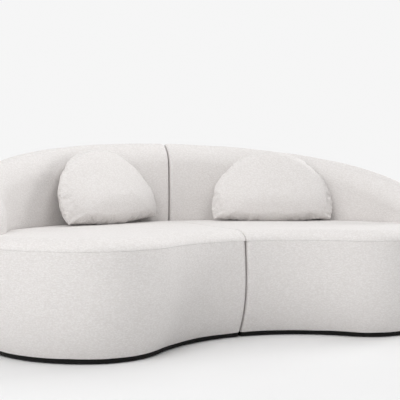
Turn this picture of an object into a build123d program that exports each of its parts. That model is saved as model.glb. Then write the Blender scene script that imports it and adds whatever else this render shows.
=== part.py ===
from build123d import *
import os
from math import asin, atan2, cos, degrees, radians, sin, sqrt

# A curved sofa of two mirrored modules that meet at the plane X = 0.
# Millimetres, +Z up, +Y towards the back; the origin is on the floor, at the middle of the plan.
os.makedirs("parts", exist_ok=True)

# Plan of one half, followed from the front joint round to the rear joint (headings in degrees from +X)
cove_radius = 516.0
cove_turn = 43.5
corner_radius = 320.0
corner_heading = 20.0
end_radius = 518.0
end_heading = 135.0
joint_gap = 6.0
joint_rounding = 14.0

# Upholstered profile of the seat box: tucked in at its lower edge, widest at the belly
glide_height = 4.0
plinth_height = 18.0
belly_height = 228.0
seam_height = 384.0
tuck = 60.0
seam_inset = 10.0
plinth_setback = 7.0
cover_thickness = 2.5
cover_clearance = 0.8

# Crowned seat top
crown_height = 42.0
crown_roll = 90.0
deck_drop = 23.0

# Wooden frame of the seat box
board_thickness = 18.0
frame_inset = 74.0
rail_inset = 25.0
rail_thickness = 18.0
front_rail_width = 95.0
rear_rail_width = 125.0
post_size = 45.0
post_inset = 108.0
panel_thickness = 18.0
cross_rail_thickness = 25.0
cross_rail_height = 60.0
cross_rail_places = (265.0, 545.0)
webbing_width = 60.0
webbing_thickness = 2.5
webbing_count = 6
webbing_pitch = 122.0
webbing_first = 75.0
webbing_grip = 35.0
fit_clearance = 0.3
cove_post_share = 0.42
end_post_turns = (35.0, 80.0)
rear_post_turns = (6.0, 26.0)

# Back: a rolled shell, highest at the joint, that sweeps down round the end to a rounded nose
back_height = 806.0
back_outer_inset = 10.0
back_ridge_inset = 66.0
back_inner_inset = 147.0
back_bulge = 8.0
back_roll = 105.0
back_roll_share = 0.62
roll_taper = 1.1
roll_turns = (0.0, 22.5, 45.0, 67.5, 90.0)
back_reach = 1270.0
fall_length = 1560.0
fall_height = 350.0
drop_share = 0.68
nose_length = 140.0
nose_taper = 0.8
back_spans = 16
seat_back_clearance = 2.0

# Frame inside the back
core_outer_pad = 18.0
core_inner_pad = 36.0
core_top_pad = 36.0
core_reach = 1120.0
core_roll = 24.0
sole_thickness = 18.0
sole_clearance = 4.0
rib_thickness = 15.0
rib_count = 7
rib_clearance = 5.0
batten_width = 30.0
batten_thickness = 6.0

# Hardware
bolt_diameter = 8.0
bolt_head_diameter = 18.0
bolt_head_height = 6.0
bolt_count = 4
screw_diameter = 5.0
screw_head_diameter = 10.0
screw_head_height = 3.0
screw_bite = 12.0
hole_clearance = 0.5
glide_diameter = 40.0
glide_pin_diameter = 6.0
glide_pin_length = 12.0
joint_glide_turn = 8.0
tongue_width = 50.0
tongue_thickness = 2.5
tongue_reach = 55.0
tongue_plate_length = 90.0
tongue_screw_shares = (0.3, 0.7)
channel_length = 70.0
channel_wall = 3.0
channel_flange = 22.0
channel_side_clearance = 2.0
channel_top_clearance = 0.5
notch_clearance = 6.0
connector_front_setback = 190.0
connector_rear_setback = 190.0

# Half-moon scatter cushions
cushion_width = 590.0
cushion_height = 350.0
cushion_thickness = 150.0
cushion_waist = 8.0
cushion_widest = 85.0
cushion_side_radius = 200.0
cushion_middle = 140.0
cushion_lean = 17.0
cushion_wall = 2.0
left_cushion_turn = 21.3
right_cushion_turn = 27.5
cushion_back_clearance = 1.5
cushion_rest_gap = 0.4

# Heights that follow from the sizes above
base_bottom = glide_height + plinth_height
board_top = base_bottom + board_thickness
deck = seam_height - deck_drop
rail_top = deck - webbing_thickness - fit_clearance
rail_bottom = rail_top - rail_thickness
seat_top = seam_height + crown_height
cover_edge = joint_gap / 2
foam_edge = cover_edge + cover_thickness + cover_clearance
frame_edge = foam_edge + fit_clearance
skin = cover_thickness + cover_clearance

# Arc centres of the right half; the cove curves the other way from the rest
cove_end = radians(cove_turn)
cove_axis = Vector(0, -cove_radius)
corner_axis = cove_axis + Vector(sin(cove_end), cos(cove_end)) * (cove_radius + corner_radius)


def toward(heading):
    """Outward direction of the outline where it runs at this heading."""
    return Vector(sin(radians(heading)), -cos(radians(heading)))


end_axis = corner_axis + toward(corner_heading) * (corner_radius - end_radius)
end_point = end_axis + toward(end_heading) * end_radius
rear_radius = end_point.X / sin(radians(end_heading))
rear_axis = end_point - toward(end_heading) * rear_radius
middle_y = (corner_axis.Y - corner_radius + rear_axis.Y + rear_radius) / 2
cove_axis, corner_axis, end_axis, rear_axis = (
    axis - Vector(0, middle_y) for axis in (cove_axis, corner_axis, end_axis, rear_axis)
)


def raised(point, z):
    return Vector(point.X, point.Y, z)


def arc(first, middle, last):
    return Edge.make_three_point_arc(first, middle, last)


def half_outline(inset, z, edge, rounding=joint_rounding):
    """Closed level outline of the right half, drawn in by inset, with its joint side at X = edge."""
    cove = cove_radius + inset
    rear = rear_radius - inset
    side = edge + rounding
    front_pivot = cove_axis + Vector(side, sqrt((cove + rounding) ** 2 - side ** 2))
    rear_pivot = rear_axis + Vector(side, sqrt((rear - rounding) ** 2 - side ** 2))
    cove_start = asin(side / (cove + rounding))
    rear_stop = 180 - degrees(asin(side / (rear - rounding)))
    cove_middle = (cove_start + cove_end) / 2
    joint_front = front_pivot - Vector(rounding, 0)
    joint_rear = rear_pivot - Vector(rounding, 0)
    slant = rounding / sqrt(2)
    on_cove = cove_axis + Vector(sin(cove_start), cos(cove_start)) * cove
    on_rear = rear_axis + toward(rear_stop) * rear
    cove_stop = cove_axis + Vector(sin(cove_end), cos(cove_end)) * cove
    corner_stop = corner_axis + toward(corner_heading) * (corner_radius - inset)
    end_stop = end_axis + toward(end_heading) * (end_radius - inset)
    corner_middle = corner_axis + toward((corner_heading - cove_turn) / 2) * (corner_radius - inset)
    end_middle = end_axis + toward((corner_heading + end_heading) / 2) * (end_radius - inset)
    rear_middle = rear_axis + toward((end_heading + rear_stop) / 2) * rear
    runs = (
        (joint_front, front_pivot - Vector(slant, slant), on_cove),
        (on_cove, cove_axis + Vector(sin(cove_middle), cos(cove_middle)) * cove, cove_stop),
        (cove_stop, corner_middle, corner_stop),
        (corner_stop, end_middle, end_stop),
        (end_stop, rear_middle, on_rear),
        (on_rear, rear_pivot - Vector(slant, -slant), joint_rear),
    )
    edges = [arc(*(raised(point, z) for point in run)) for run in runs]
    edges.append(Edge.make_line(raised(joint_rear, z), raised(joint_front, z)))
    return Wire(edges)


def level_loft(levels, edge, rounding=joint_rounding):
    """Solid through level outlines given as (height, inset) pairs."""
    return Solid.make_loft([half_outline(inset, z, edge, rounding) for z, inset in levels])


def board(inset, edge, bottom, top, rounding=joint_rounding):
    """Flat board with the half outline."""
    return Solid.extrude(Face(half_outline(inset, bottom, edge, rounding)), Vector(0, 0, top - bottom))


def belly_inset(z):
    """Inset of the upholstered band at a height: two arcs that are upright at the belly."""
    below = z < belly_height
    reach = belly_height - base_bottom if below else seam_height - belly_height
    depth = tuck if below else seam_inset
    radius = (reach ** 2 + depth ** 2) / (2 * depth)
    return radius - sqrt(radius ** 2 - (z - belly_height) ** 2)


def carried(section, axis, radius, growth, start, sweep):
    """Upright section of (inset, height) runs, turned round one arc of the outline from polar angle start."""
    edges = []
    for run in section:
        points = [Vector(radius + growth * inset, 0, z) for inset, z in run]
        edges.append(Edge.make_line(*points) if len(points) == 2 else arc(*points))
    turned = Solid.revolve(Face(Wire(edges)), sweep, Axis.Z)
    return turned.rotate(Axis.Z, start).moved(Location(axis))


def round_cove(section, edge):
    start = degrees(asin(edge / cove_radius))
    return carried(section, cove_axis, cove_radius, 1, 90 - cove_turn, cove_turn - start)


def round_corner(section):
    return carried(section, corner_axis, corner_radius, -1, -cove_turn - 90, corner_heading + cove_turn)


def round_end(section, from_heading=corner_heading):
    return carried(section, end_axis, end_radius, -1, from_heading - 90, end_heading - from_heading)


def round_rear(section, edge, deepest):
    stop = 180 - degrees(asin(edge / (rear_radius - deepest)))
    return carried(section, rear_axis, rear_radius, -1, end_heading - 90, stop - end_heading)


def oblong(low_inset, high_inset, bottom, top):
    """Section of a flat rail as four straight runs."""
    corners = [(low_inset, bottom), (high_inset, bottom), (high_inset, top), (low_inset, top)]
    return [(corners[i - 1], corners[i]) for i in range(4)]


def front_y(x, inset):
    """Front of the right half at X = x, drawn in by inset."""
    cove = cove_radius + inset
    if x < cove * sin(cove_end):
        return cove_axis.Y + sqrt(cove ** 2 - x ** 2)
    corner = corner_radius - inset
    if x < corner_axis.X + corner * sin(radians(corner_heading)):
        return corner_axis.Y - sqrt(corner ** 2 - (x - corner_axis.X) ** 2)
    return end_axis.Y - sqrt((end_radius - inset) ** 2 - (x - end_axis.X) ** 2)


def rear_y(x, inset):
    """Rear of the right half at X = x, drawn in by inset."""
    rear = rear_radius - inset
    if x < rear * sin(radians(end_heading)):
        return rear_axis.Y + sqrt(rear ** 2 - x ** 2)
    return end_axis.Y + sqrt((end_radius - inset) ** 2 - (x - end_axis.X) ** 2)


def front_to_rear(x, width, front_inset, rear_inset, bottom, top):
    """Bar along Y, square at its ends, that stays inside the outline drawn in at the front and the rear."""
    sides = (x - width / 2, x + width / 2)
    front = max(front_y(side, front_inset) for side in sides)
    rear = min(rear_y(side, rear_inset) for side in sides)
    bar = Box(width, rear - front, top - bottom, align=(Align.CENTER, Align.MIN, Align.MIN))
    return Pos(x, front, bottom) * bar


def rod(point, diameter, bottom, top):
    return Pos(point.X, point.Y, bottom) * Cylinder(
        diameter / 2, top - bottom, align=(Align.CENTER, Align.CENTER, Align.MIN)
    )


def screw(point, seat, bite):
    """Pan-head screw from below: its head under the height seat, its shank up to bite above it."""
    head = rod(point, screw_head_diameter, seat - screw_head_height, seat)
    return head + rod(point, screw_diameter, seat, seat + bite)


def screw_hole(point, bottom, top):
    return rod(point, screw_diameter + 2 * hole_clearance, bottom, top)


# Places round the frame, each as an arc centre, its radius at the inset and a heading
def on_corner(heading, inset):
    return corner_axis + toward(heading) * (corner_radius - inset)


def on_end(heading, inset):
    return end_axis + toward(heading) * (end_radius - inset)


def on_rear(heading, inset):
    return rear_axis + toward(heading) * (rear_radius - inset)


def on_cove(turn, inset):
    return cove_axis + Vector(sin(radians(turn)), cos(radians(turn))) * (cove_radius + inset)


def round_places(inset):
    """Seven places spread round the frame."""
    places = [on_cove(cove_turn * cove_post_share, inset), on_cove(cove_turn, inset)]
    places.append(on_corner(corner_heading / 2, inset))
    places += [on_end(corner_heading + turn, inset) for turn in end_post_turns]
    places += [on_rear(end_heading + turn, inset) for turn in rear_post_turns]
    return places


# Plinth on glides, with a notch at the joint for each connector
plinth_inset = tuck + plinth_setback
connector_places = (
    Vector(0, front_y(0, 0) + connector_front_setback),
    Vector(0, rear_y(0, 0) - connector_rear_setback),
)
channel_inside = tongue_width + 2 * channel_side_clearance
channel_outside = channel_inside + 2 * (channel_wall + channel_flange)
notch_width = channel_outside + 2 * notch_clearance
plate_start = frame_edge + screw_head_diameter
plate_end = plate_start + tongue_plate_length
notch_length = max(frame_edge + channel_length, plate_end) + notch_clearance
plinth = board(plinth_inset, cover_edge, glide_height, base_bottom)
for place in connector_places:
    notch = Box(2 * notch_length, notch_width, 3 * plinth_height)
    plinth -= Pos(place.X, place.Y, base_bottom) * notch
glide_inset = plinth_inset + glide_diameter
glide_places = round_places(glide_inset)
glide_places += [on_cove(joint_glide_turn, glide_inset), on_rear(180 - joint_glide_turn, glide_inset)]
glides = []
for place in glide_places:
    foot = rod(place, glide_diameter, 0, glide_height)
    glides.append(foot + rod(place, glide_pin_diameter, glide_height, glide_height + glide_pin_length))
    pin_hole = glide_pin_diameter + 2 * hole_clearance
    plinth -= rod(place, pin_hole, glide_height, glide_height + glide_pin_length + hole_clearance)

# Base board, screwed to the plinth from below; the screw heads are let into the plinth
base_board = board(frame_inset, frame_edge, base_bottom, board_top)
screw_seat = glide_height + 2 * screw_head_height
plinth_screws = []
for place in round_places(glide_inset + 2 * glide_diameter):
    plinth -= rod(place, screw_head_diameter + 2 * hole_clearance, glide_height, screw_seat)
    plinth -= screw_hole(place, screw_seat, base_bottom)
    bite = base_bottom + screw_bite - screw_seat
    base_board -= screw_hole(place, base_bottom, base_bottom + screw_bite + hole_clearance)
    plinth_screws.append(screw(place, screw_seat, bite))

# Upright frame: joint panel, posts, curved rails and the cross rails under them
panel_far = frame_edge + panel_thickness
panel_front = front_y(frame_edge, frame_inset)
panel_rear = rear_y(panel_far, frame_inset)
joint_panel = Pos(frame_edge, panel_front, board_top) * Box(
    panel_thickness, panel_rear - panel_front, rail_bottom - board_top, align=(Align.MIN, Align.MIN, Align.MIN)
)
posts = [
    Pos(place.X, place.Y, board_top)
    * Box(post_size, post_size, rail_bottom - board_top, align=(Align.CENTER, Align.CENTER, Align.MIN))
    for place in round_places(post_inset)
]
front_section = oblong(rail_inset, rail_inset + front_rail_width, rail_bottom, rail_top)
rear_section = oblong(rail_inset, rail_inset + rear_rail_width, rail_bottom, rail_top)
front_rail = round_cove(front_section, frame_edge) + round_corner(front_section)
rear_rail = round_end(rear_section) + round_rear(rear_section, frame_edge, rail_inset + rear_rail_width)
cross_rail_bottom = rail_bottom - cross_rail_height
cross_rails = [
    front_to_rear(x, cross_rail_thickness, frame_inset, frame_inset, cross_rail_bottom, rail_bottom)
    for x in cross_rail_places
]

# Elastic webbing, stapled over the rails from front to rear
webbing_front = rail_inset + front_rail_width - webbing_grip
webbing_rear = rail_inset + rear_rail_width - webbing_grip
webbing_top = rail_top + webbing_thickness
seat_webbing = []
for i in range(webbing_count):
    x = webbing_first + i * webbing_pitch
    seat_webbing.append(front_to_rear(x, webbing_width, webbing_front, webbing_rear, rail_top, webbing_top))

# Padding round the box: bulging outside, stepped inside to clear the rails
lower_middle = (base_bottom + belly_height) / 2
upper_middle = (belly_height + deck) / 2
rail_face = rail_inset - fit_clearance
frame_face = frame_inset - fit_clearance
rail_underside = rail_bottom - fit_clearance


def on_pad(z):
    return (belly_inset(z) + skin, z)


padding_section = [
    (on_pad(base_bottom), on_pad(lower_middle), on_pad(belly_height)),
    (on_pad(belly_height), on_pad(upper_middle), on_pad(deck)),
    (on_pad(deck), (rail_face, deck)),
    ((rail_face, deck), (rail_face, rail_underside)),
    ((rail_face, rail_underside), (frame_face, rail_underside)),
    ((frame_face, rail_underside), (frame_face, base_bottom)),
    ((frame_face, base_bottom), on_pad(base_bottom)),
]
padding_edge = cover_edge + joint_rounding
front_padding = round_cove(padding_section, padding_edge) + round_corner(padding_section)
end_padding = round_end(padding_section)
rear_padding = round_rear(padding_section, padding_edge, frame_face)

# Bouclé band round the box, with its joint face; open above and below
band_heights = [base_bottom + (belly_height - base_bottom) * share for share in (0, 0.25, 0.5, 0.75, 1)]
band_heights += [belly_height + (seam_height - belly_height) * share for share in (0.5, 1)]
band_outside = level_loft([(z, belly_inset(z)) for z in band_heights], cover_edge)
open_heights = [band_heights[0] - cover_thickness] + band_heights[1:-1] + [seam_height + cover_thickness]
band_inside = level_loft(
    [(z, belly_inset(z) + cover_thickness) for z in open_heights],
    cover_edge + cover_thickness,
    joint_rounding - cover_thickness,
)
base_cover = band_outside - band_inside


# Back: sections across the ridge, carried along the rear sweep and round the end
ridge_rear_length = (rear_radius - back_ridge_inset) * radians(180 - end_heading)


def back_place(along, inset, z, edge):
    """Point of the back at a distance along the ridge from the joint plane."""
    if along <= edge:
        return Vector(edge, rear_axis.Y + sqrt((rear_radius - inset) ** 2 - edge ** 2), z)
    if along <= ridge_rear_length:
        heading = 180 - degrees(along / (rear_radius - back_ridge_inset))
        return raised(on_rear(heading, inset), z)
    heading = end_heading - degrees((along - ridge_rear_length) / (end_radius - back_ridge_inset))
    return raised(on_end(heading, inset), z)


def ridge_height(along):
    """The ridge falls slowly at first and faster towards the nose."""
    share = min(along, back_reach) / fall_length
    return back_height - fall_height * (drop_share * share ** 2 + (1 - drop_share) * share ** 4)


def nose_share(along):
    """Share of the full width and height that is left in the rounded nose."""
    past = max(along - back_reach, 0) / nose_length
    return sqrt(1 - nose_taper * past ** 2)


def bulge_at(along):
    """The bulge of the sides lessens with the height of the back."""
    return back_bulge * (ridge_height(along) - seam_height) / (back_height - seam_height)


def along_back(section_at, edge, last):
    """Solid of sections carried evenly along the back, with the rounded nose joined to its tip."""
    run = [edge] + [back_reach * i / back_spans for i in range(1, back_spans + 1)]
    nose = [back_reach + (last - back_reach) * share for share in (0, 0.5, 0.85, 1)]
    lofts = [Solid.make_loft([section_at(along) for along in stations]) for stations in (run, nose)]
    return lofts[0] + lofts[1]


def roll_section(along, outer, ridge, inner, top, roll, bottom, bulge, edge, foot):
    """Rolled section: bulging sides, a roll over the ridge, and a straight skirt down to its foot."""
    spring = top - min(roll, back_roll_share * (top - bottom))
    side = (bottom + spring) / 2

    def at(inset, z):
        return back_place(along, inset, z, edge)

    def half_roll(spring_inset):
        """Points of the roll from its spring on one side up to the ridge."""
        points = []
        for turn in roll_turns:
            out = cos(radians(turn)) ** roll_taper
            rise = sin(radians(turn)) ** roll_taper
            points.append(at(ridge + (spring_inset - ridge) * out, spring + (top - spring) * rise))
        return points

    outer_roll = half_roll(outer - bulge / 2)
    inner_roll = half_roll(inner + bulge / 2)[::-1]
    over = at(inner, top) - at(outer, top)
    edges = [
        arc(at(outer, bottom), at(outer - bulge, side), outer_roll[0]),
        Edge.make_spline(outer_roll, tangents=(Vector(0, 0, 1), over)),
        Edge.make_spline(inner_roll, tangents=(over, Vector(0, 0, -1))),
        arc(inner_roll[-1], at(inner + bulge, side), at(inner, bottom)),
    ]
    if foot < bottom:
        edges.append(Edge.make_line(at(inner, bottom), at(inner, foot)))
        edges.append(Edge.make_line(at(outer, foot), at(outer, bottom)))
    edges.append(Edge.make_line(at(inner, foot), at(outer, foot)))
    return Wire(edges)


def across(along, shrink):
    """Outer and inner inset of the back at the seam, drawn in by shrink."""
    left = nose_share(along)
    outer = back_ridge_inset - (back_ridge_inset - back_outer_inset) * left + shrink
    inner = back_ridge_inset + (back_inner_inset - back_ridge_inset) * left - shrink
    return outer, inner


def four_sided(along, corners, edge):
    """Section of the back with four (inset, height) corners."""
    points = [back_place(along, inset, z, edge) for inset, z in corners]
    return Wire([Edge.make_line(points[i - 1], points[i]) for i in range(4)])


def back_form(shrink, edge, foot):
    """Outside of the back, drawn in all round by shrink, with a straight skirt from the seam down to its foot."""

    def section_at(along):
        outer, inner = across(along, shrink)
        low = seam_height - shrink
        top = seam_height + (ridge_height(along) - seam_height) * nose_share(along) - shrink
        bulge = bulge_at(along)
        return roll_section(along, outer, back_ridge_inset, inner, top, back_roll, low, bulge, edge, foot)

    return along_back(section_at, edge, back_reach + nose_length - shrink)


back_cover = back_form(0, cover_edge, seam_height)
back_cover -= back_form(cover_thickness, cover_edge + cover_thickness, deck)

# Space for the frame inside the back foam, open below
core_outer = back_outer_inset + core_outer_pad
core_inner = back_inner_inset - core_inner_pad
core_ridge = (core_outer + core_inner) / 2
core_start = 2 * foam_edge
core_stations = [core_start + (core_reach - core_start) * i / back_spans for i in range(back_spans + 1)]


def core_top(along):
    return ridge_height(along) - core_top_pad


core_foot = deck - deck_drop
core_sections = []
for along in core_stations:
    top = core_top(along)
    core_sections.append(
        roll_section(along, core_outer, core_ridge, core_inner, top, core_roll, core_foot, 1, foam_edge, core_foot)
    )
back_foam = back_form(skin, foam_edge, deck) - Solid.make_loft(core_sections)

# The corner of its skirt at the joint is cut off to clear the rounded corner of the band
joint_corner = back_place(foam_edge, back_outer_inset + skin, deck, foam_edge)
back_foam -= Pos(joint_corner) * Rot(0, 0, 45) * Box(joint_rounding, joint_rounding, 2 * deck_drop)

# Sole, ribs and batten of the back frame
sole_outer = core_outer + sole_clearance
sole_inner = core_inner - sole_clearance
sole_top = rail_top + sole_thickness
sole_section = oblong(sole_outer, sole_inner, rail_top, sole_top)
sole_reach = core_reach - 2 * sole_clearance
sole_heading = end_heading - degrees((sole_reach - ridge_rear_length) / (end_radius - back_ridge_inset))
sole_edge = core_start + sole_clearance
back_sole = round_end(sole_section, sole_heading) + round_rear(sole_section, sole_edge, sole_inner)

rib_first = sole_edge + rib_thickness
rib_last = sole_reach - rib_thickness
rib_stations = [rib_first + (rib_last - rib_first) * i / (rib_count - 1) for i in range(rib_count)]
batten_low = core_ridge - batten_width / 2
batten_high = core_ridge + batten_width / 2


def batten_bottom(along):
    return core_top(along) - rib_clearance - batten_thickness


def batten_form(spare):
    """Batten bent over the ribs, or the seat for it when spare is added all round."""
    sections = []
    for along in rib_stations:
        low = batten_bottom(along) - spare
        high = batten_bottom(along) + batten_thickness + spare
        near = batten_low - spare
        far = batten_high + spare
        sections.append(four_sided(along, [(near, low), (far, low), (far, high), (near, high)], foam_edge))
    return Solid.make_loft(sections)


back_batten = batten_form(0)
batten_seat = batten_form(fit_clearance)
back_ribs = []
for along in rib_stations:
    corners = [(sole_outer, sole_top), (sole_inner, sole_top)]
    corners += [(sole_inner, batten_bottom(along) - core_roll), (batten_high, batten_bottom(along))]
    corners += [(batten_low, batten_bottom(along)), (sole_outer, batten_bottom(along) - core_roll)]
    points = [back_place(along, inset, z, foam_edge) for inset, z in corners]
    sheet = Face(Wire([Edge.make_line(points[i - 1], points[i]) for i in range(len(points))]))
    rib = extrude(sheet, amount=rib_thickness / 2, both=True)
    back_ribs.append(rib - batten_seat)

# Bolts from under the rear rail up through the sole, between the ribs
bolt_stations = [(rib_stations[i] + rib_stations[i + 1]) / 2 for i in range(bolt_count)]
back_bolts = []
for along in bolt_stations:
    place = back_place(along, core_ridge, 0, foam_edge)
    hole = rod(place, bolt_diameter + 2 * hole_clearance, rail_bottom, sole_top)
    rear_rail -= hole
    back_sole -= hole
    head = rod(place, bolt_head_diameter, rail_bottom - bolt_head_height, rail_bottom)
    head_room = rod(place, bolt_head_diameter + 2 * hole_clearance, rail_bottom - 2 * bolt_head_height, rail_bottom)
    rear_padding -= head_room
    end_padding -= head_room
    back_bolts.append(head + rod(place, bolt_diameter, rail_bottom, sole_top + bolt_head_height))

# Seat pad: a straight skirt under the seam and a crown above it, cut back along the inner face of the back
crown_shares = (0, 0.4, 0.7, 0.88, 0.96)


def crown(shrink, edge):
    """Crowned top above the seam, drawn in all round by shrink."""
    height = crown_height - shrink
    levels = []
    for share in crown_shares:
        roll = crown_roll * (1 - sqrt(1 - share ** 2))
        levels.append((seam_height + height * share / crown_shares[-1], seam_inset + shrink + roll))
    return level_loft(levels, edge, joint_rounding - shrink)


def seat_body(shrink, edge):
    """Crown with its straight skirt down to the deck."""
    return board(seam_inset + shrink, edge, deck, seam_height, joint_rounding - shrink) + crown(shrink, edge)


def back_footprint(clearance):
    """Block that stands where the back stands, with some clearance on its seat side."""
    edge = cover_edge - clearance

    def section_at(along):
        inner = across(along, 0)[1] + bulge_at(along) + clearance
        corners = [(-tuck, base_bottom), (inner, base_bottom), (inner, back_height), (-tuck, back_height)]
        return four_sided(along, corners, edge)

    return along_back(section_at, edge, back_reach + nose_length + clearance)


footprint = back_footprint(seat_back_clearance)
seat_foam = seat_body(skin, foam_edge) - footprint
seat_cover = crown(0, cover_edge) - seat_body(cover_thickness, cover_edge + cover_thickness) - footprint

# Connectors under the joint: a tongue on the right module slides into a channel on the left one
tongue_bottom = base_bottom - channel_top_clearance - tongue_thickness
channel_top = tongue_bottom - channel_top_clearance
channel_span = channel_inside / 2
left_board = mirror(base_board, Plane.YZ)
right_board = base_board
tongues = []
channels = []
tongue_screws = []
channel_screws = []
for place in connector_places:
    low_corner = (Align.MIN, Align.CENTER, Align.MIN)
    plate = Pos(plate_start, place.Y, tongue_bottom) * Box(
        tongue_plate_length, tongue_width, base_bottom - tongue_bottom, align=low_corner
    )
    blade = Pos(-tongue_reach, place.Y, tongue_bottom) * Box(
        plate_start + tongue_reach, tongue_width, tongue_thickness, align=low_corner
    )
    tongue = plate + blade
    for share in tongue_screw_shares:
        spot = Vector(plate_start + tongue_plate_length * share, place.Y)
        tongue -= screw_hole(spot, tongue_bottom, base_bottom)
        right_board -= screw_hole(spot, base_bottom, base_bottom + screw_bite + hole_clearance)
        tongue_screws.append(screw(spot, tongue_bottom, base_bottom - tongue_bottom + screw_bite))
    tongues.append(tongue)

    mouth = -frame_edge
    middle = mouth - channel_length / 2
    centred = (Align.CENTER, Align.CENTER, Align.MIN)
    channel = Pos(middle, place.Y, channel_top - channel_wall) * Box(
        channel_length, channel_inside + 2 * channel_wall, channel_wall, align=centred
    )
    for side in (-1, 1):
        wall_y = place.Y + side * (channel_span + channel_wall / 2)
        channel += Pos(middle, wall_y, channel_top) * Box(
            channel_length, channel_wall, base_bottom - channel_top, align=centred
        )
        flange_y = place.Y + side * (channel_span + channel_wall + channel_flange / 2)
        flange = Pos(middle, flange_y, base_bottom - channel_wall) * Box(
            channel_length, channel_flange, channel_wall, align=centred
        )
        spot = Vector(middle, flange_y)
        channel += flange
        channel -= screw_hole(spot, base_bottom - channel_wall, base_bottom)
        left_board -= screw_hole(spot, base_bottom, base_bottom + screw_bite + hole_clearance)
        channel_screws.append(screw(spot, base_bottom - channel_wall, channel_wall + screw_bite))
    channels.append(channel)


# Half-moon cushions with a knife edge: a crown on each side of the flat D of the seam
crown_steps = (0, 0.3, 0.6, 0.85, 0.97)
lean = radians(cushion_lean)


def cushion_point(x, z, step, depth, shrink):
    """Point of the crown: the flat D drawn towards its middle as the depth grows."""
    scale = sqrt(1 - step)
    return Vector(x * scale, step * depth, cushion_middle + (z + shrink - cushion_middle) * scale)


def rim_arcs(shrink):
    """Centre (x, z) and radius of the flat D's side arc and of its top arc, and the direction where they meet."""
    side = cushion_side_radius - shrink
    low = cushion_widest - shrink
    height = cushion_height - 2 * shrink
    out = cushion_width / 2 - shrink - side
    up = height - low
    top = (out ** 2 + up ** 2 - side ** 2) / (2 * (up - side))
    return (out, low, side), (0, height - top, top), degrees(atan2(top - up, out))


def rim(angle, shrink):
    """Point of the flat D's rounded side and top, by the direction its edge faces."""
    side_arc, top_arc, meeting = rim_arcs(shrink)
    x, z, radius = side_arc if angle < meeting else top_arc
    return x + radius * cos(radians(angle)), z + radius * sin(radians(angle))


def cushion_outline(step, depth, shrink):
    side_arc, top_arc, meeting = rim_arcs(shrink)
    widest, meet, top = (rim(angle, shrink) for angle in (0, meeting, 90))
    ear = side_arc[0] + sqrt(side_arc[2] ** 2 - side_arc[1] ** 2)

    def at(x, z):
        return cushion_point(x, z, step, depth, shrink)

    edges = [
        arc(at(-ear, 0), at(0, cushion_waist), at(ear, 0)),
        arc(at(ear, 0), at(*widest), at(*meet)),
        arc(at(*meet), at(*top), at(-meet[0], meet[1])),
        arc(at(-meet[0], meet[1]), at(-widest[0], widest[1]), at(-ear, 0)),
    ]
    return Wire(edges)


def cushion_form(shrink):
    depth = cushion_thickness / 2 - shrink
    halves = []
    for side in (-1, 1):
        halves.append(Solid.make_loft([cushion_outline(step, side * depth, shrink) for step in crown_steps]))
    return halves[0] + halves[1]


def cushion_stand():
    """Distance from the centre of the rear sweep at which the leaning cushion just clears the back."""
    wall = rear_radius - back_inner_inset - back_bulge - cushion_back_clearance
    room = []
    for angle in range(0, 91, 5):
        for step in (0.05 * i for i in range(20)):
            point = cushion_point(*rim(angle, 0), step, cushion_thickness / 2, 0)
            room.append(sqrt(wall ** 2 - point.X ** 2) - point.Z * sin(lean) - point.Y * cos(lean))
    return min(room)


def placed(form, turn):
    """Cushion on the seat, leaning on the back at a turn from the middle of the rear sweep."""
    spot = rear_axis + Vector(sin(radians(turn)), cos(radians(turn))) * cushion_stand()
    return Pos(spot.X, spot.Y, seat_top + cushion_rest_gap) * Rot(0, 0, -turn) * Rot(-cushion_lean, 0, 0) * form


insert_form = cushion_form(cushion_wall + cover_clearance)
cover_form = cushion_form(0) - cushion_form(cushion_wall)


def write(name, shape):
    solids = shape if isinstance(shape, list) else [shape]
    export_step(Compound(children=[solid for item in solids for solid in item.solids()]), f"parts/{name}.step")


module = {
    "glides": glides,
    "plinth": plinth,
    "plinth_screws": plinth_screws,
    "joint_panel": joint_panel,
    "posts": posts,
    "front_rail": front_rail,
    "rear_rail": rear_rail,
    "cross_rails": cross_rails,
    "seat_webbing": seat_webbing,
    "front_padding": front_padding,
    "end_padding": end_padding,
    "rear_padding": rear_padding,
    "base_cover": base_cover,
    "seat_foam": seat_foam,
    "seat_cover": seat_cover,
    "back_sole": back_sole,
    "back_ribs": back_ribs,
    "back_batten": back_batten,
    "back_bolts": back_bolts,
    "back_foam": back_foam,
    "back_cover": back_cover,
}
for name, shape in module.items():
    solids = shape if isinstance(shape, list) else [shape]
    write(f"right_{name}", solids)
    write(f"left_{name}", [mirror(solid, Plane.YZ) for solid in solids])
write("right_base_board", right_board)
write("left_base_board", left_board)
write("connector_tongues", tongues)
write("connector_tongue_screws", tongue_screws)
write("connector_channels", channels)
write("connector_channel_screws", channel_screws)
for side, turn in (("left", -left_cushion_turn), ("right", right_cushion_turn)):
    write(f"{side}_cushion_insert", placed(insert_form, turn))
    write(f"{side}_cushion_cover", placed(cover_form, turn))
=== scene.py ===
from math import atan2, cos, degrees, exp, hypot, pi, radians, sin, sqrt

import bmesh
import bpy
from mathutils import Matrix, Vector, noise


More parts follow.
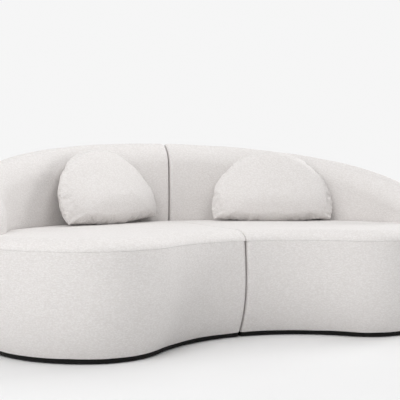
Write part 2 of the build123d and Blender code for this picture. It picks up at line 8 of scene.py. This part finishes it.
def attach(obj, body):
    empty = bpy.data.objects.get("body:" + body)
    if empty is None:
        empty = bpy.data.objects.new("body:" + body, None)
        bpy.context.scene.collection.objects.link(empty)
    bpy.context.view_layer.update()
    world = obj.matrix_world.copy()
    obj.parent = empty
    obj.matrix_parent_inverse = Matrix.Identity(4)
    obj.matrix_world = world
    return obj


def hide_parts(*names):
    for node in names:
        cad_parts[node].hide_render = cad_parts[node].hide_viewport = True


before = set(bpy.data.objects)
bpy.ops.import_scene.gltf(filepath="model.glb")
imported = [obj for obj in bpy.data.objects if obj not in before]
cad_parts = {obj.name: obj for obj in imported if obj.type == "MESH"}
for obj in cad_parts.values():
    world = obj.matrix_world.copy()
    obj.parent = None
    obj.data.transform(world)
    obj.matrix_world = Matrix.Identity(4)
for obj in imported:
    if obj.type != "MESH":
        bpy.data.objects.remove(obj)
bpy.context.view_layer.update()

scene = bpy.context.scene


# Viewpoint: a low camera at the front left of the sofa, a little under the top of its back.
# The lens is a short telephoto, tipped down a little more than one degree.
def placed(name, data):
    """New object of the scene."""
    made = bpy.data.objects.new(name, data)
    scene.collection.objects.link(made)
    return made


tipped_down, turned_right = 1.43, 22.98
viewpoint = placed("viewpoint", bpy.data.cameras.new("viewpoint"))
viewpoint.data.sensor_width = 36
viewpoint.data.lens = 67.9
viewpoint.location = (-1.309, -3.001, 0.618)
viewpoint.rotation_euler = (radians(90 - tipped_down), 0, radians(-turned_right))
scene.camera = viewpoint
scene.view_settings.view_transform = "Standard"


# Studio: a pale matt floor under soft lamps, which runs out into a white backdrop.
# The lamps are large softboxes, the main one high at the front left.
class Strand:
    """One socket of a material; sums and products of strands add Math nodes."""

    def __init__(self, tree, socket):
        self.tree = tree
        self.socket = socket

    def node(self, kind, settings, sockets, output=0):
        made = self.tree.nodes.new(kind)
        for name, value in settings.items():
            setattr(made, name, value)
        for name, value in sockets.items():
            if isinstance(value, Strand):
                self.tree.links.new(value.socket, made.inputs[name])
            else:
                made.inputs[name].default_value = value
        return Strand(self.tree, made.outputs[output])

    def math(self, operation, first, second):
        return self.node("ShaderNodeMath", {"operation": operation}, {0: first, 1: second})

    def __add__(self, other):
        return self.math("ADD", self, other)

    def __sub__(self, other):
        return self.math("SUBTRACT", self, other)

    def __rsub__(self, other):
        return self.math("SUBTRACT", other, self)

    def __mul__(self, other):
        return self.math("MULTIPLY", self, other)

    def mixed(self, low, high):
        """Colour from low to high as this strand goes from 0 to 1."""
        return self.node("ShaderNodeMix", {"data_type": "RGBA"}, {0: self, 6: low, 7: high}, 2)

    def specks(self, scale, detail):
        """Noise over these coordinates."""
        return self.node("ShaderNodeTexNoise", {}, {"Vector": self, "Scale": scale, "Detail": detail})

    def relief(self, strength, distance):
        """Normal of a surface that this strand raises."""
        return self.node(
            "ShaderNodeBump", {}, {"Strength": strength, "Distance": distance, "Height": self}
        )

    def into(self, shader, name):
        self.tree.links.new(self.socket, shader.inputs[name])


def new_finish(name, roughness):
    """Material with its shader, and a strand of the piece's own coordinates in metres."""
    made = bpy.data.materials.new(name)
    made.use_nodes = True
    shader = made.node_tree.nodes["Principled BSDF"]
    shader.inputs["Roughness"].default_value = roughness
    place = made.node_tree.nodes.new("ShaderNodeTexCoord").outputs["Object"]
    return made, shader, Strand(made.node_tree, place)


def looking(tree):
    """One for the rays that see the studio itself: straight, in a reflection or through glass."""
    ray = tree.nodes.new("ShaderNodeLightPath")
    kinds = ("Is Camera Ray", "Is Glossy Ray", "Is Transmission Ray")
    straight, mirrored, through = (Strand(tree, ray.outputs[kind]) for kind in kinds)
    every = straight + mirrored + through
    return every.math("MINIMUM", every, 1.0)


def mesh_of(bm, name):
    """Mesh with the shape of a bmesh, which is freed."""
    made = bpy.data.meshes.new(name)
    bm.to_mesh(made)
    bm.free()
    return made


floor_paint, shader, place = new_finish("floor_paint", 0.55)
cloudy = place.specks(1.4, 3.0)
cloudy.mixed((0.80, 0.80, 0.80, 1), (0.83, 0.83, 0.83, 1)).into(shader, "Base Color")
shader.inputs["Specular IOR Level"].default_value = 0.25

studio_white = (0.92, 0.92, 0.92, 1)
fade_start, fade_end = 2.2, 5.0
tree = floor_paint.node_tree
far = place.node("ShaderNodeVectorMath", {"operation": "LENGTH"}, {0: place}, "Value")
fade = far.node(
    "ShaderNodeMapRange",
    {"interpolation_type": "SMOOTHSTEP"},
    {"Value": far, "From Min": fade_start, "From Max": fade_end},
)
paint = Strand(tree, shader.outputs[0])
glow = fade.node("ShaderNodeEmission", {}, {"Color": studio_white})
floor_look = fade.node("ShaderNodeMixShader", {}, {0: fade * looking(tree), 1: paint, 2: glow})
floor_look.into(tree.nodes["Material Output"], "Surface")

floor_reach = 14
bm = bmesh.new()
bmesh.ops.create_grid(bm, x_segments=1, y_segments=1, size=floor_reach)
floor_mesh = mesh_of(bm, "studio_floor")
floor_mesh.materials.append(floor_paint)
studio_floor = placed("studio_floor", floor_mesh)

for name, spot, aim, size, power in (
    ("main_softbox", (-2.6, -2.6, 3.4), (0.1, 0.0, 0.3), 2.6, 73),
    ("top_softbox", (0.4, 0.4, 3.6), (0.0, 0.0, 0.3), 3.0, 32),
    ("left_softbox", (-4.2, -1.2, 1.7), (0.0, 0.0, 0.4), 2.8, 42),
    ("right_softbox", (4.6, 0.0, 1.7), (-0.7, 0.1, 0.6), 2.0, 92),
    ("back_softbox", (0.6, -2.2, 3.2), (0.0, 0.6, 0.6), 2.2, 26),
):
    lamp = bpy.data.lights.new(name, "AREA")
    lamp.shape = "DISK"
    lamp.size = size
    lamp.energy = power
    softbox = placed(name, lamp)
    softbox.location = spot
    softbox.rotation_euler = (Vector(aim) - Vector(spot)).to_track_quat("-Z", "Y").to_euler()

ambient = (0.32, 0.32, 0.322, 1)
backdrop = bpy.data.worlds.new("backdrop")
scene.world = backdrop
backdrop.use_nodes = True
tree = backdrop.node_tree
looking(tree).mixed(ambient, studio_white).into(tree.nodes["Background"], "Color")


# Plinth and glides: a recessed board under each module, lacquered satin black, on nylon glides.
# Each glide has a pin pressed into the plinth, and the plinth is screwed up into the base board.
def dress(nodes, finish):
    """Gives a finish to nodes of both modules, or to single nodes by their full name."""
    for name in nodes:
        for full_name in (f"left_{name}", f"right_{name}", name):
            if full_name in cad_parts:
                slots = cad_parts[full_name].data.materials
                for i in range(len(slots)):
                    slots[i] = finish


black_lacquer, shader, place = new_finish("black_lacquer", 0.35)
dust = place.specks(35.0, 5.0)
dust.mixed((0.003, 0.003, 0.003, 1), (0.008, 0.0075, 0.007, 1)).into(shader, "Base Color")
(dust * 0.25 + 0.40).into(shader, "Roughness")
shader.inputs["Specular IOR Level"].default_value = 0.12
dress(["plinth"], black_lacquer)

glide_nylon, shader, place = new_finish("glide_nylon", 0.5)
scuff = place.specks(180.0, 4.0)
scuff.mixed((0.02, 0.02, 0.02, 1), (0.05, 0.05, 0.05, 1)).into(shader, "Base Color")
(scuff * 0.3 + 0.35).into(shader, "Roughness")
dress(["glides"], glide_nylon)

# Screws, bolts and joint connectors: pressed steel channels and tongues under the joint.
# They are zinc plated and screwed to the base boards; bolts hold each back to its rail.
zinc, shader, place = new_finish("zinc_plate", 0.35)
spangle = place.node("ShaderNodeTexVoronoi", {}, {"Vector": place, "Scale": 160.0}, "Color")
shade = spangle.node("ShaderNodeSeparateColor", {}, {"Color": spangle})
shade.mixed((0.42, 0.43, 0.44, 1), (0.58, 0.58, 0.57, 1)).into(shader, "Base Color")
shader.inputs["Metallic"].default_value = 1
dress(["plinth_screws", "back_bolts"], zinc)
dress(["connector_tongues", "connector_tongue_screws"], zinc)
dress(["connector_channels", "connector_channel_screws"], zinc)

# Frame: base board, joint panel, rails and back frame of birch plywood, posts and cross rails of beech.
# The pieces are glued and screwed; the ply shows its plies, the beech its long grain.
birch_ply, shader, place = new_finish("birch_ply", 0.6)
plies = place.node(
    "ShaderNodeTexWave", {"bands_direction": "Z"}, {"Vector": place, "Scale": 110.0, "Distortion": 0.6}
)
flecks = place.specks(60.0, 6.0)
figure = plies * 0.6 + flecks * 0.4
figure.mixed((0.50, 0.34, 0.19, 1), (0.72, 0.55, 0.36, 1)).into(shader, "Base Color")
dress(["base_board", "joint_panel", "front_rail", "rear_rail"], birch_ply)
dress(["back_sole", "back_ribs", "back_batten"], birch_ply)

beech, shader, place = new_finish("beech", 0.5)
upright_grain = (9.0, 9.0, 1.2)
fibres = place.node("ShaderNodeVectorMath", {"operation": "MULTIPLY"}, {0: place, 1: upright_grain})
grain = place.node(
    "ShaderNodeTexNoise", {}, {"Vector": fibres, "Scale": 9.0, "Detail": 8.0, "Distortion": 0.4}
)
grain.mixed((0.46, 0.28, 0.15, 1), (0.66, 0.45, 0.27, 1)).into(shader, "Base Color")
(grain * 0.2 + 0.42).into(shader, "Roughness")
dress(["posts", "cross_rails"], beech)

# Webbing: rubber and polypropylene straps stapled over the rails, from front to rear.
# They carry the seat pad; the weave runs across each strap in fine ribs.
strap_weave, shader, place = new_finish("strap_weave", 0.8)
ribs = place.node("ShaderNodeTexWave", {"bands_direction": "Y"}, {"Vector": place, "Scale": 130.0})
threads = place.node("ShaderNodeTexWave", {"bands_direction": "X"}, {"Vector": place, "Scale": 90.0})
weave = ribs * 0.6 + threads * 0.4
weave.mixed((0.03, 0.025, 0.02, 1), (0.16, 0.12, 0.08, 1)).into(shader, "Base Color")
weave.relief(0.4, 0.0006).into(shader, "Normal")
dress(["seat_webbing"], strap_weave)

# Boucle: ivory looped yarn, woven into a dense nubby cloth for every cover of the sofa.
# Small curls stand on a ground of broader knots, both drawn out along the weft,
# and fine fibre blurs them; the low pile between them is painted darker and warmer, as shade.
boucle, shader, place = new_finish("boucle_ivory", 0.95)
stray = (0.007, 0.007, 0.005)
drawn_out = (0.6, 0.6, 1.25)
drift = place.node("ShaderNodeTexNoise", {}, {"Vector": place, "Scale": 75.0, "Detail": 2.0}, "Color")
bent = place.node("ShaderNodeVectorMath", {"operation": "MULTIPLY_ADD"}, {0: drift, 1: stray, 2: place})
weft = place.node("ShaderNodeVectorMath", {"operation": "MULTIPLY"}, {0: bent, 1: drawn_out})


def yarn_loops(scale, smoothness):
    """Rounded cells along the weft, with zero at the middle of each."""
    sockets = {"Vector": weft, "Scale": scale, "Smoothness": smoothness}
    return weft.node("ShaderNodeTexVoronoi", {"feature": "SMOOTH_F1"}, sockets)


curls = yarn_loops(270.0, 0.35)
knots = yarn_loops(150.0, 0.45)
fibre = bent.specks(820.0, 3.0)
mottle = place.specks(9.0, 2.0)
pile = 1 - (curls * 0.8 + knots * 0.6) + fibre * 0.22
pale = mottle.mixed((0.800, 0.778, 0.765, 1), (0.815, 0.797, 0.787, 1))
# Colour by height of the pile: painted shade, darker and warmer, in the hollows between the loops, over
# the mottled ivory of the cloth.
(pile * 1.5 - 0.35).mixed((0.700, 0.672, 0.655, 1), pale).into(shader, "Base Color")
pile.relief(0.40, 0.0022).into(shader, "Normal")
shader.inputs["Sheen Weight"].default_value = 0.25
shader.inputs["Sheen Roughness"].default_value = 0.6
shader.inputs["Specular IOR Level"].default_value = 0.2


# Bands: the padded wall round each seat box, from the joint round the cove, the corner and the end.
# Foam on the frame, covered in boucle; the cloth is turned under and stapled over the plinth,
# and sewn to the seat cover along the top. The joint edges are rounded and the joint face is covered too.
joint_edge, joint_rounding = 0.003, 0.014
seam = 0.384
cove_axis, cove_radius, cove_turn = Vector((0, -0.90360, 0)), 0.516, 43.5
corner_axis, corner_turn = Vector((0.57546, -0.29719, 0)), 63.5
end_axis, end_radius, end_turn = Vector((0.50774, -0.11113, 0)), 0.518, 115
rear_axis, rear_radius, rear_turn = Vector((0, -0.61887, 0)), 1.23606, 45
front_y = cove_axis.y + cove_radius
rear_y = rear_axis.y + rear_radius


def chain(bm, y, inward, points):
    """Open run of vertices in the joint plane, from insets behind y and heights."""
    spots = [bm.verts.new((0, y + inward * inset, z)) for inset, z in points]
    return spots + [bm.edges.new(pair) for pair in zip(spots, spots[1:])]


def sweep(bm, run, turns):
    """Carries a run round arcs of the plan, one after the other."""
    upright = (0, 0, 1)
    for axis, turn, steps in turns:
        swept = bmesh.ops.spin(bm, geom=run, cent=axis, axis=upright, angle=radians(turn), steps=steps)
        run = swept["geom_last"]
    return run


# Up to just over the seam, trim_joint draws the cloth in sideways only.
# A vertex that faces neither side goes by the half of the seat that it is in.
over_seam, faces_a_side, half_way = 0.009, 0.5, 0.1


def trim_joint(bm, start, rounding):
    """Trims a right-hand piece at the joint and draws its last millimetres in, to a rounded edge."""
    bmesh.ops.remove_doubles(bm, verts=bm.verts[:], dist=1e-5)
    bmesh.ops.recalc_face_normals(bm, faces=bm.faces[:])
    for share in (0, 0.09, 0.29, 0.61, 1.0):
        whole = bm.verts[:] + bm.edges[:] + bm.faces[:]
        cut = (start + rounding * share, 0, 0)
        trims = share == 0
        bmesh.ops.bisect_plane(
            bm, geom=whole, dist=1e-6, plane_co=cut, plane_no=(1, 0, 0), clear_inner=trims
        )
    bm.normal_update()
    for spot in bm.verts:
        close = rounding - max(spot.co.x - start, 0)
        if close > 0:
            rise = spot.normal.z if spot.co.z > seam + over_seam else 0
            out = Vector((0, spot.normal.y, rise))
            if out.length < faces_a_side:
                out = Vector((0, 1 if spot.co.y > half_way else -1, 0))
            spot.co -= out.normalized() * (rounding - sqrt(max(rounding ** 2 - close ** 2, 0)))
    return [e for e in bm.edges if all(abs(spot.co.x - start) < 1e-5 for spot in e.verts)]


def finished_mesh(holder):
    """Mesh of an object as its modifiers leave it."""
    return bpy.data.meshes.new_from_object(holder.evaluated_get(bpy.context.evaluated_depsgraph_get()))


def subdivided(holder, levels):
    """Mesh of an object, smoothed by subdivision; the object itself is removed."""
    smoother = holder.modifiers.new("smoother", "SUBSURF")
    smoother.levels = levels
    smoother.render_levels = levels
    fine = finished_mesh(holder)
    bpy.data.objects.remove(holder)
    return fine


def softened(bm, name, levels):
    """Smooths a cage with subdivision and returns it as a fresh bmesh, its open edges closed flat."""
    cage = mesh_of(bm, name + "_cage")
    fine = subdivided(placed(name + "_cage", cage), levels)
    bpy.data.meshes.remove(cage)
    made = bmesh.new()
    made.from_mesh(fine)
    bpy.data.meshes.remove(fine)
    rims = [e for e in made.edges if e.is_boundary]
    if rims:
        lids = bmesh.ops.holes_fill(made, edges=rims, sides=0)["faces"]
        bmesh.ops.triangulate(made, faces=lids)
    bmesh.ops.recalc_face_normals(made, faces=made.faces[:])
    return made


def mirror(bm):
    """Turns a right-hand piece into a left-hand one."""
    bmesh.ops.scale(bm, verts=bm.verts[:], vec=(-1, 1, 1))
    bmesh.ops.reverse_faces(bm, faces=bm.faces[:])


def covered(bm, name):
    """Piece of the sofa with the shape of a bmesh, in boucle."""
    mesh = mesh_of(bm, name)
    mesh.polygons.foreach_set("use_smooth", [True] * len(mesh.polygons))
    mesh.materials.append(boucle)
    return placed(name, mesh)


# Unevenness of the stretched cloth: waves to the metre and their depth,
# how far the puckers reach from the seam, and how far from the joint all of it is at its full.
broad_waves, broad_depth = 6.5, 0.0016
short_waves, short_depth = 21, 0.0006
pucker_waves, pucker_depth, pucker_layer = 48, 0.0011, 3
pucker_reach, joint_reach = 0.035, 0.02


def upholstered(bm, name, side, nodes):
    """Places a soft piece on one module: mirrored for the left one, then settled unevenly."""
    made = bm.copy()
    if side == "left":
        mirror(made)
    made.normal_update()
    for spot in made.verts:
        broad = noise.noise(spot.co * broad_waves) * broad_depth
        lump = broad + noise.noise(spot.co * short_waves) * short_depth
        near_seam = max(0, 1 - abs(spot.co.z - seam) / pucker_reach)
        along_seam = Vector((spot.co.x * pucker_waves, spot.co.y * pucker_waves, pucker_layer))
        pucker = noise.noise(along_seam) * pucker_depth * near_seam
        away = min(max(abs(spot.co.x) - joint_edge, 0) / joint_reach, 1)
        sideways = Vector((spot.normal.x, spot.normal.y, spot.normal.z * (1 - near_seam)))
        spot.co += sideways * (lump + pucker) * away
    piece = covered(made, f"{side}_{name}")
    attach(piece, f"{side}_module")
    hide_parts(*(f"{side}_{node}" for node in nodes))


base_bottom, belly_height, tuck, seam_inset = 0.022, 0.228, 0.060, 0.010


def belly(z):
    """Inset of the wall at a height: drawn in below, upright at the belly, a little in at the seam."""
    if z < belly_height:
        reach, depth = belly_height - base_bottom, tuck
    else:
        reach, depth = seam - belly_height, seam_inset
    bow = (reach ** 2 + depth ** 2) / (2 * depth)
    return bow - sqrt(bow ** 2 - (z - belly_height) ** 2)


wall = [(0.0664, 0.0194), (0.0628, 0.0190), (0.0605, 0.0208)]
wall += [(belly(z), z) for z in (0.028, 0.045, 0.070, 0.100, 0.135, 0.175, 0.210)]
wall += [(belly(z), z) for z in (0.240, 0.275, 0.310, 0.340, 0.362, 0.375, 0.3838)]
wall += [(0.0100, 0.38465), (0.0102, 0.38485), (0.0110, 0.38495), (0.0165, 0.3850), (0.0240, 0.3850)]
bm = bmesh.new()
run = chain(bm, front_y, 1, wall)
run = sweep(bm, run, ((cove_axis, -cove_turn, 15), (corner_axis, corner_turn, 13)))
sweep(bm, run, ((end_axis, end_turn, 38), (rear_axis, rear_turn, 34)))
joint = trim_joint(bm, joint_edge, joint_rounding)
joint_face = bmesh.ops.bridge_loops(bm, edges=joint)["edges"]
front_to_rear = 0.3
across = [e for e in joint_face if abs(e.verts[0].co.y - e.verts[1].co.y) > front_to_rear]
bmesh.ops.subdivide_edges(bm, edges=across, cuts=30, use_grid_fill=True)
bm = softened(bm, "band", levels=2)
band_nodes = ["base_cover", "front_padding", "end_padding", "rear_padding"]
for side in ("left", "right"):
    upholstered(bm, "band", side, band_nodes)
bm.free()

# Seats: crowned pads of soft foam on the webbing, under one sewn top of boucle on each module.
# The front rolls over to the seam with the band, the rear edge rolls down against the back,
# and the end runs on under the nose of the back.
crown_reach, crown_rise = 0.090, 0.042
seat_edge, seat_rounding = 0.0010, 0.007
crown = [(0.0240, 0.38515), (0.0165, 0.38515), (0.0110, 0.38515)]
crown += [(0.0102, 0.3853), (0.0100, 0.3855), (0.0101, 0.3866)]
for share in (0.25, 0.45, 0.63, 0.78, 0.89, 0.96, 1.0):
    crown.append((seam_inset + crown_reach * (1 - sqrt(1 - share ** 2)), seam + crown_rise * share))
heel = [(0.1500, 0.388), (0.1503, 0.402), (0.1520, 0.413)]
heel += [(0.1570, 0.4205), (0.1665, 0.425), (0.187, 0.426)]
skirt_height, crown_top = crown[0][1], crown[-1][1]


def on_top(spot):
    """True for a vertex at the height of the seat's flat top."""
    return abs(spot.co.z - crown_top) < 1e-6


def verts_of(geometry):
    """The vertices among the parts of a bmesh."""
    return [part for part in geometry if isinstance(part, bmesh.types.BMVert)]


def bearing(spot, axis):
    """Vector in plan from an axis to a vertex, and its heading in degrees from the front."""
    out = spot.co.xy - axis.xy
    return out, degrees(atan2(out.x, -out.y))


# The flat top is filled as a grid. Its long sides are the front and the rear edge with the first degrees
# of the end; its short sides are the joint line and the rest of the end, cut into as many steps.
front_side, front_rest = 10, 63
rear_side, rear_rest = 23, 19
round_front = ((cove_axis, -cove_turn, 18), (corner_axis, corner_turn, 14), (end_axis, front_side, 3))
bm = bmesh.new()
front_run = chain(bm, front_y, 1, crown)
rear_run = chain(bm, rear_y, -1, heel)
joint_line = bm.edges.new((front_run[len(crown) - 1], rear_run[len(heel) - 1]))
front_run = sweep(bm, front_run, round_front)
rear_run = sweep(bm, rear_run, ((rear_axis, -rear_turn, 26), (end_axis, -rear_side, 9)))
rails = [e for e in bm.edges if e != joint_line and all(on_top(spot) for spot in e.verts)]
front_run = sweep(bm, front_run, ((end_axis, front_rest, 18),))
rear_run = sweep(bm, rear_run, ((end_axis, -rear_rest, 5),))
end_line = bm.edges.new([spot for spot in verts_of(front_run + rear_run) if on_top(spot)])
bmesh.ops.subdivide_edges(bm, edges=[joint_line], cuts=25)
bmesh.ops.subdivide_edges(bm, edges=[end_line], cuts=2)
bmesh.ops.grid_fill(bm, edges=rails, mat_nr=0, use_smooth=True, use_interp_simple=True)

# Under the nose of the back the rim of the seat is drawn in.
tuck_start, tuck_blend, tuck_end, tuck_depth = 78, 10, 94, 0.012
rim_radius = 0.3
for spot in bm.verts:
    out, heading = bearing(spot, end_axis)
    if 0 < heading < tuck_end and out.length > rim_radius:
        under = min(max((heading - tuck_start) / tuck_blend, 0), 1)
        spot.co.xy -= out.normalized() * tuck_depth * under * under * (3 - 2 * under)
joint = trim_joint(bm, seat_edge, seat_rounding)
skirt = bmesh.ops.extrude_edge_only(bm, edges=joint)["geom"]
for spot in verts_of(skirt):
    spot.co.z = skirt_height
bmesh.ops.remove_doubles(bm, verts=bm.verts[:], dist=5e-5)
bm = softened(bm, "seat", levels=2)
for side in ("left", "right"):
    upholstered(bm, "seat", side, ["seat_cover", "seat_foam"])
bm.free()

# Backs: a thick roll of foam on a bent ply frame, highest at the joint and falling round the end.
# Covered in boucle with a nose that dives into the seat; bolted down on the rear rail,
# with the cover sewn to the band along the rear.
top, roll, ridge_inset = 0.806, 0.105, 0.066
spring = top - roll
back_reach, fall_length, nose_heading, nose_turn = 1.270, 1.560, 90.50, 17.75
inner_face, outer_face, bulge = 0.147, 0.010, 0.008
half_face = (spring - seam) / 2


def swell(z):
    """Share of the bulge at a height: none at the seam, full half way up, half at the roll."""
    share = (z - seam) / half_face - 1
    return 1 - share ** 2 + 0.5 * max(share, 0) ** 2


def quarter(depth, taper, angles):
    """Points of the roll between its ridge and one face of the back, slimmer with more taper."""
    turns = [radians(angle) for angle in angles]
    return [(ridge_inset + depth * cos(t) ** taper, spring + roll * sin(t) ** taper) for t in turns]


front_depth, front_taper = 0.085, 1.15
rear_depth, rear_taper = 0.060, 1.1
face_heights = (0.43, 0.47, 0.51, 0.55, 0.59, 0.63, 0.665)
lining = [(0.110, 0.3868), (0.139, 0.3868), (0.1458, 0.3876), (0.1474, 0.394)]
lining += [(inner_face + bulge * swell(z), z) for z in face_heights]
lining += quarter(front_depth, front_taper, (0, 15, 30, 45, 60, 75))
lining += quarter(-rear_depth, rear_taper, (90, 75, 60, 45, 30, 15, 0))
lining += [(outer_face - bulge * swell(z), z) for z in reversed(face_heights)]
lining += [(0.0099, 0.394), (0.0106, 0.3892), (0.0124, 0.3868)]
lining += [(0.0165, 0.3858), (0.0240, 0.3858), (0.0550, 0.3868)]
end_start = 180 - rear_turn
bm = bmesh.new()
run = chain(bm, rear_y, -1, lining)
run.append(bm.edges.new((run[0], run[len(lining) - 1])))
run = sweep(bm, run, ((rear_axis, -rear_turn, 34),))
sweep(bm, run, ((end_axis, nose_heading - end_start, 16), (end_axis, -nose_turn, 10)))

# The ridge falls along its length, slowly at first, and the profile is fitted under it.
# Past the reach of the back the profile closes to the nose.
ridge_fall, early_fall, late_fall = 0.350, 0.68, 0.32
roll_share, face_swell, nose_foot = 0.62, 0.0085, 0.002
end_side, end_bow = 0.5, 0.35
rear_length = (rear_radius - ridge_inset) * radians(rear_turn)
nose_length = radians(nose_turn) * (end_radius - ridge_inset)
for spot in bm.verts:
    out, heading = bearing(spot, end_axis)
    if spot.co.x > end_side and 0 < heading < end_start or spot.co.x > end_axis.x + end_bow:
        along = rear_length + radians(end_start - heading) * (end_radius - ridge_inset)
        axis, radius = end_axis, end_radius
    else:
        out, heading = bearing(spot, rear_axis)
        along = radians(180 - heading) * (rear_radius - ridge_inset)
        axis, radius = rear_axis, rear_radius
    share = min(along, back_reach) / fall_length
    ridge = top - ridge_fall * (early_fall * share ** 2 + late_fall * share ** 4)
    bend = ridge - min(roll, roll_share * (ridge - seam))
    inset = radius - out.length
    fullness = (ridge - seam) / (top - seam)
    base = inner_face if inset > ridge_inset else outer_face
    if spot.co.z < spring - 1e-6:
        if abs(inset - base) < face_swell:
            inset = base + (inset - base) * fullness
        height = seam + (spot.co.z - seam) * (bend - seam) / (spring - seam)
    else:
        height = bend + (spot.co.z - spring) * (ridge - bend) / roll
    past = max(along - back_reach, 0) / nose_length
    if past > 0:
        past = min(past, 1)
        heading = nose_heading - nose_turn * sin(past * pi / 2)
        closing = cos(past * pi / 2)
        inset = ridge_inset + (inset - ridge_inset) * closing
        height = seam + nose_foot + (height - seam - nose_foot) * closing
    spot.co.xy = axis.xy + Vector((sin(radians(heading)), -cos(radians(heading)))) * (radius - inset)
    spot.co.z = height
bmesh.ops.remove_doubles(bm, verts=bm.verts[:], dist=1e-5)
joint = trim_joint(bm, joint_edge, joint_rounding)
cap = bmesh.ops.holes_fill(bm, edges=joint, sides=0)["faces"]
bmesh.ops.inset_region(bm, faces=cap, thickness=0.010)
bm = softened(bm, "back", levels=2)
for side in ("left", "right"):
    upholstered(bm, "back", side, ["back_cover", "back_foam"])
bm.free()

# Cushions: two loose half-moon cushions with a knife edge, filled with fibre, one on each module.
# Two panels of boucle are sewn together all round, so the cloth swells inside the seam and puckers at it.
# Each stands on its straight edge and leans on the back.
ear, sag = 0.276, 0.034
side_axis, side_turn = Vector((0.095, 0.085, 0)), 46.4
top_axis, top_turn = Vector((0, 0.048, 0)), 137.5
other_axis = side_axis * Vector((-1, 1, 1))
bm = bmesh.new()
first = bm.verts.new((ear, 0, 0))
half_moon = ((side_axis, side_turn, 18), (top_axis, top_turn, 64), (other_axis, side_turn, 18))
last = verts_of(sweep(bm, [first], half_moon))[0]
bmesh.ops.subdivide_edges(bm, edges=[bm.edges.new((first, last))], cuts=48)
for spot in bm.verts:
    if spot.co.y < 1e-4:
        spot.co.y -= sag * max(0, 1 - (spot.co.x / ear) ** 2)

# The panels are cut larger than the cushion, because the fill draws their outline in.
cut_large = (1.065, 1.085, 1)
panel_middle, panel_depth = 0.140, 0.050
bmesh.ops.scale(bm, verts=bm.verts[:], vec=cut_large)
outline = bm.edges[:]
for depth in (panel_depth, -panel_depth):
    ring, before = outline, 0
    for step in (0.05, 0.2, 0.4, 0.62, 0.82, 0.95):
        ring = bmesh.ops.extrude_edge_only(bm, edges=ring)["geom"]
        spots = verts_of(ring)
        shrink = sqrt((1 - step) / (1 - before))
        centred = Matrix.Translation((0, -panel_middle, 0))
        bmesh.ops.scale(bm, verts=spots, vec=(shrink, shrink, 1), space=centred)
        bmesh.ops.translate(bm, verts=spots, vec=(0, 0, depth * (step - before)))
        ring, before = [part for part in ring if isinstance(part, bmesh.types.BMEdge)], step
    bmesh.ops.holes_fill(bm, edges=ring, sides=0)
bmesh.ops.rotate(bm, verts=bm.verts[:], cent=(0, 0, 0), matrix=Matrix.Rotation(radians(90), 3, "X"))
bmesh.ops.recalc_face_normals(bm, faces=bm.faces[:])
cushion_cut = placed("cushion_cut", mesh_of(bm, "cushion_cut"))
grid = cushion_cut.modifiers.new("grid", "REMESH")
grid.mode = "VOXEL"
grid.voxel_size = 0.005
sewn = finished_mesh(cushion_cut)
bpy.data.objects.remove(cushion_cut)
stuffed = placed("stuffed_cushion", sewn)
stuffing_steps, most_swell = 20, 0.026
flat = [spot.co.copy() for spot in sewn.vertices]
cloth = stuffed.modifiers.new("stuffing", "CLOTH")
cloth.settings.quality = 5
cloth.settings.mass = 0.3
cloth.settings.tension_stiffness = 25
cloth.settings.compression_stiffness = 12
cloth.settings.shear_stiffness = 8
cloth.settings.bending_stiffness = 0.6
cloth.settings.use_pressure = True
cloth.settings.uniform_pressure_force = 4
cloth.settings.effector_weights.gravity = 0
cloth.point_cache.frame_start = 1
cloth.point_cache.frame_end = stuffing_steps
for step in range(1, stuffing_steps + 1):
    scene.frame_set(step)
plump = stuffed.evaluated_get(bpy.context.evaluated_depsgraph_get()).data
swollen = [spot.co.copy() for spot in plump.vertices]
stuffed.modifiers.remove(cloth)
scene.frame_set(1)
for spot, start, end in zip(sewn.vertices, flat, swollen):
    move = end - start
    spot.co = start + move * min(1, most_swell / max(move.length, 1e-9))
full = subdivided(stuffed, 1)

# The cloth is gathered at the seam, most of all at the ears, and the fill settles low.
gather_waves, gather_layer = 60, 7
seam_gather, seam_reach = 0.0016, 0.03
ear_gather, ear_reach, ear_height = 0.0042, 0.09, 0.02
groove_depth, groove_width = 0.0035, 0.005
settled, settled_height, settled_spread = 0.24, 0.070, 0.095
# A cushion stands at a distance from the middle of the rear sweep and gives softly against the back.
seat_top, stand, give, back_gap = 0.4264, 0.95379, 0.018, 0.0015
face = rear_radius - inner_face - bulge - back_gap - give
for side, turn, swing, lean, tip in (
    ("left", -20.4, -29.5, 22, 1.5),
    ("right", 27.6, 21.5, 18, 0),
):
    bm = bmesh.new()
    bm.from_mesh(full)
    if side == "left":
        mirror(bm)
    bm.normal_update()
    for spot in bm.verts:
        rim = 1 - spot.normal.y ** 2
        gather = noise.noise(Vector((spot.co.x * gather_waves, gather_layer, spot.co.z * gather_waves)))
        near = max(0, 1 - abs(spot.co.y) / seam_reach) * rim
        by_ear = max(0, 1 - hypot(abs(spot.co.x) - ear, spot.co.z - ear_height) / ear_reach)
        groove = groove_depth * max(0, 1 - abs(spot.co.y) / groove_width) * rim
        spot.co += spot.normal * (gather * (seam_gather * near + ear_gather * by_ear) - groove)
        spot.co.y *= 1 + settled * exp(-((spot.co.z - settled_height) / settled_spread) ** 2)
    tilt = Matrix.Rotation(radians(-swing), 4, "Z") @ Matrix.Rotation(radians(-lean), 4, "X")
    tilt = tilt @ Matrix.Rotation(radians(-tip), 4, "Y")
    spot_on_seat = rear_axis + Vector((sin(radians(turn)), cos(radians(turn)), 0)) * stand
    tilt.translation = spot_on_seat + Vector((0, 0, seat_top + ear * sin(radians(tip))))
    bmesh.ops.transform(bm, matrix=tilt, verts=bm.verts[:])
    for spot in bm.verts:
        spot.co.z = max(spot.co.z, seat_top)
        out = spot.co.xy - rear_axis.xy
        if out.length > face:
            pressed = face + give * (1 - exp((face - out.length) / give))
            spot.co.xy = rear_axis.xy + out.normalized() * pressed
    piece = covered(bm, f"{side}_cushion")
    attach(piece, f"{side}_cushion")
    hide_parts(f"{side}_cushion_cover", f"{side}_cushion_insert")
